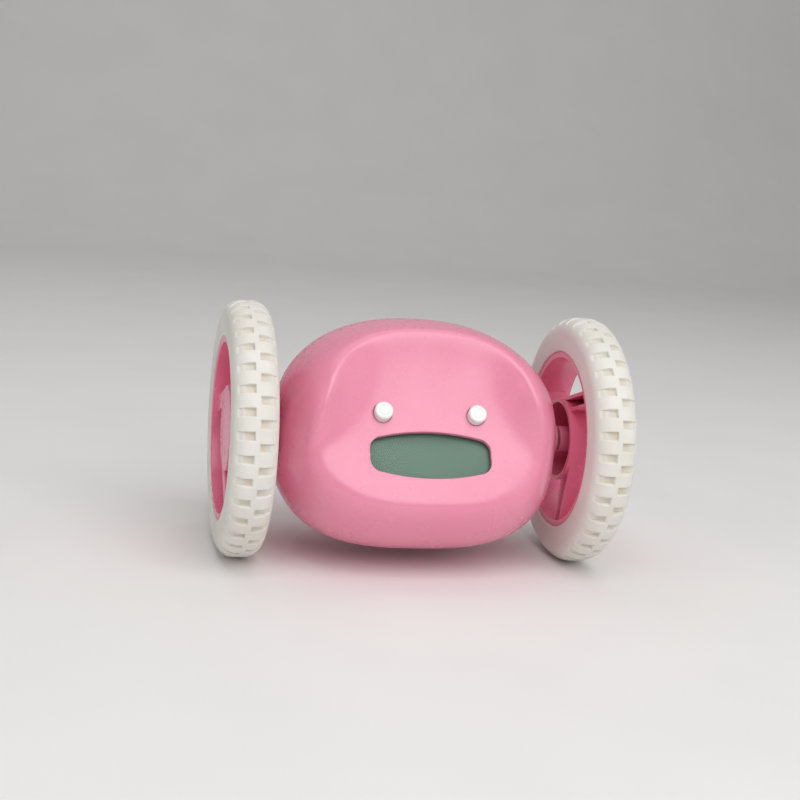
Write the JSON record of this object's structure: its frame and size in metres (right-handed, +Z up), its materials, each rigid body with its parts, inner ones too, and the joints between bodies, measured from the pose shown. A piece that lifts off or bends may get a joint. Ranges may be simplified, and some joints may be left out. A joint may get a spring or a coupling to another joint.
{
  "type": "runaway alarm clock",
  "caption": "Rounded glossy alarm clock with a scooped face, blank display and round eye buttons, hung between two large treaded wheels that drive it away.",
  "frame": {"origin": "on the floor under the middle of the wheel axle, the bottom centre of the bounding box", "axes": "+X along the axle to the right as the face is seen, +Y to the back, +Z up; the face looks toward -Y"},
  "size_m": [0.138, 0.089, 0.089],
  "materials": {
    "pink_plastic": "glossy moulded plastic",
    "tyre_rubber": "matt off-white rubber",
    "white_plastic": "glossy white plastic",
    "gear_plastic": "natural nylon",
    "dark_plastic": "fine matt texture",
    "clear_plastic": "polished clear sheet",
    "display": "grey-green display glass, blank",
    "board": "coated circuit board",
    "strip": "soft contact strip",
    "steel": "plated steel",
    "motor_can": "plated can",
    "brass": "turned",
    "battery_skin": "plain dark wrap with a bare end"
  },
  "bodies": {
    "casing": {"front_shell": "pink_plastic", "rear_shell": "pink_plastic", "shell_screws": "steel", "display_window": "clear_plastic", "display_frame": "dark_plastic", "display_glass": "display", "display_strip": "strip", "main_board": "board", "board_parts": "dark_plastic", "eye_switches": "dark_plastic", "board_screws": "steel", "speaker": "dark_plastic", "battery_bay": "dark_plastic", "contact_plates": "steel", "contact_springs": "steel", "battery_1": "battery_skin", "battery_2": "battery_skin", "battery_3": "battery_skin", "battery_4": "battery_skin", "rear_board": "board", "rear_switches": "dark_plastic", "left_motor": "motor_can", "right_motor": "motor_can", "left_idler_pin": "steel", "right_idler_pin": "steel", "left_gear_plate": "gear_plastic", "right_gear_plate": "gear_plastic", "left_gear_cover": "gear_plastic", "right_gear_cover": "gear_plastic", "left_bush": "brass", "right_bush": "brass"},
    "left_wheel": {"left_rim": "pink_plastic", "left_tyre": "tyre_rubber", "left_axle": "steel", "left_axle_gear": "gear_plastic"},
    "right_wheel": {"right_rim": "pink_plastic", "right_tyre": "tyre_rubber", "right_axle": "steel", "right_axle_gear": "gear_plastic"},
    "left_idler": {"left_idler_gear": "gear_plastic"},
    "right_idler": {"right_idler_gear": "gear_plastic"},
    "left_motor_rotor": {"left_motor_shaft": "steel", "left_pinion": "gear_plastic"},
    "right_motor_rotor": {"right_motor_shaft": "steel", "right_pinion": "gear_plastic"},
    "left_eye": {"left_eye_button": "white_plastic"},
    "right_eye": {"right_eye_button": "white_plastic"},
    "set_1": {"set_button_1": "white_plastic"},
    "set_2": {"set_button_2": "white_plastic"},
    "set_3": {"set_button_3": "white_plastic"},
    "alarm_switch": {"alarm_knob": "white_plastic"},
    "door": {"battery_door": "pink_plastic", "door_screw": "steel"}
  },
  "joints": [
    {"name": "left_wheel_spin", "type": "hinge", "parent": "casing", "child": "left_wheel", "pos_m": [-0.0615, 0, 0.0445], "axis": [1, 0, 0], "continuous": true},
    {"name": "left_idler_spin", "type": "hinge", "parent": "casing", "child": "left_idler", "pos_m": [-0.0355, -0.00355, 0.03252], "axis": [1, 0, 0], "continuous": true},
    {"name": "left_motor_spin", "type": "hinge", "parent": "casing", "child": "left_motor_rotor", "pos_m": [-0.033, -0.015, 0.0275], "axis": [1, 0, 0], "continuous": true},
    {"name": "right_wheel_spin", "type": "hinge", "parent": "casing", "child": "right_wheel", "pos_m": [0.0615, 0, 0.0445], "axis": [1, 0, 0], "continuous": true},
    {"name": "right_idler_spin", "type": "hinge", "parent": "casing", "child": "right_idler", "pos_m": [0.0355, -0.00355, 0.03252], "axis": [1, 0, 0], "continuous": true},
    {"name": "right_motor_spin", "type": "hinge", "parent": "casing", "child": "right_motor_rotor", "pos_m": [0.033, -0.015, 0.0275], "axis": [1, 0, 0], "continuous": true},
    {"name": "left_eye_press", "type": "slide", "parent": "casing", "child": "left_eye", "axis": [0, 0.829, -0.5592], "range_m": [0, 0.0008], "stiffness_N_per_m": 500},
    {"name": "right_eye_press", "type": "slide", "parent": "casing", "child": "right_eye", "axis": [0, 0.829, -0.5592], "range_m": [0, 0.0008], "stiffness_N_per_m": 500},
    {"name": "set_1_press", "type": "slide", "parent": "casing", "child": "set_1", "axis": [0, -1, 0], "range_m": [0, 0.0006], "stiffness_N_per_m": 500},
    {"name": "set_2_press", "type": "slide", "parent": "casing", "child": "set_2", "axis": [0, -1, 0], "range_m": [0, 0.0006], "stiffness_N_per_m": 500},
    {"name": "set_3_press", "type": "slide", "parent": "casing", "child": "set_3", "axis": [0, -1, 0], "range_m": [0, 0.0006], "stiffness_N_per_m": 500},
    {"name": "alarm_switch_slide", "type": "slide", "parent": "casing", "child": "alarm_switch", "axis": [1, 0, 0], "range_m": [0, 0.003]},
    {"name": "door_lift_off", "type": "slide", "parent": "casing", "child": "door", "axis": [0, 1, 0], "range_m": [0, 0.02]}
  ],
  "couplings": [
    {"joint": "left_idler_spin", "follows": "left_wheel_spin", "ratio": -4},
    {"joint": "left_motor_spin", "follows": "left_wheel_spin", "ratio": 16},
    {"joint": "right_idler_spin", "follows": "right_wheel_spin", "ratio": -4},
    {"joint": "right_motor_spin", "follows": "right_wheel_spin", "ratio": 16}
  ]
}
